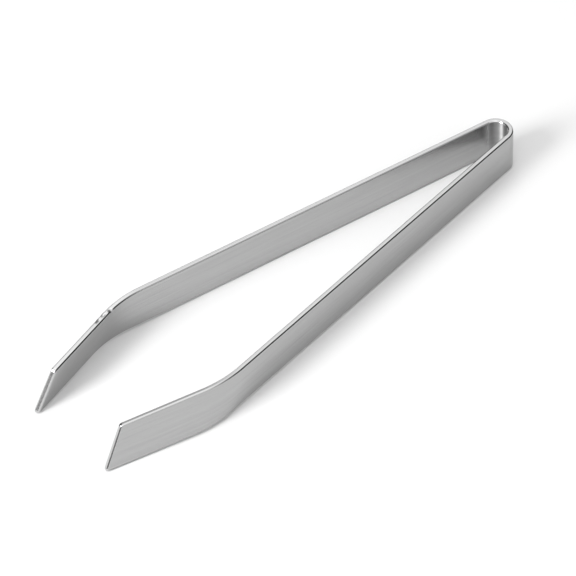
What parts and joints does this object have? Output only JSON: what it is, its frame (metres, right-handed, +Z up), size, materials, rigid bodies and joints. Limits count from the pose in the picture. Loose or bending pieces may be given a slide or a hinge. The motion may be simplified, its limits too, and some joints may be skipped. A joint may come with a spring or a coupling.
{
  "type": "stamp tongs",
  "caption": "One-piece spring tongs: a flat steel strip bent round a bow into two long arms, with knees that turn wide slanted spade jaws towards each other.",
  "frame": {"origin": "on the surface that the tongs stand on, under the middle of their length and width", "axes": "+X from the jaws to the bow along the middle plane, +Y towards the right arm, +Z up"},
  "size_m": [0.1274, 0.0354, 0.0108],
  "materials": {
    "satin_steel": "satin, with fine grain brushed along the strip; cut edges lightly rounded and a little brighter"
  },
  "bodies": {
    "spring_bow": {"spring_bow": "satin_steel"},
    "left_arm": {"left_arm": "satin_steel"},
    "right_arm": {"right_arm": "satin_steel"}
  },
  "joints": [
    {"name": "left_arm_flex", "type": "hinge", "parent": "spring_bow", "child": "left_arm", "pos_m": [0.04037, -0.00612, 0.00518], "axis": [-0.0076, 0, -1], "range_deg": [0, 5.8], "stiffness_Nm_per_rad": 5.9},
    {"name": "right_arm_flex", "type": "hinge", "parent": "spring_bow", "child": "right_arm", "pos_m": [0.04037, 0.00612, 0.00518], "axis": [0.0076, 0, 1], "range_deg": [0, 5.8], "stiffness_Nm_per_rad": 5.9}
  ],
  "couplings": [
    {"joint": "right_arm_flex", "follows": "left_arm_flex", "ratio": 1}
  ]
}
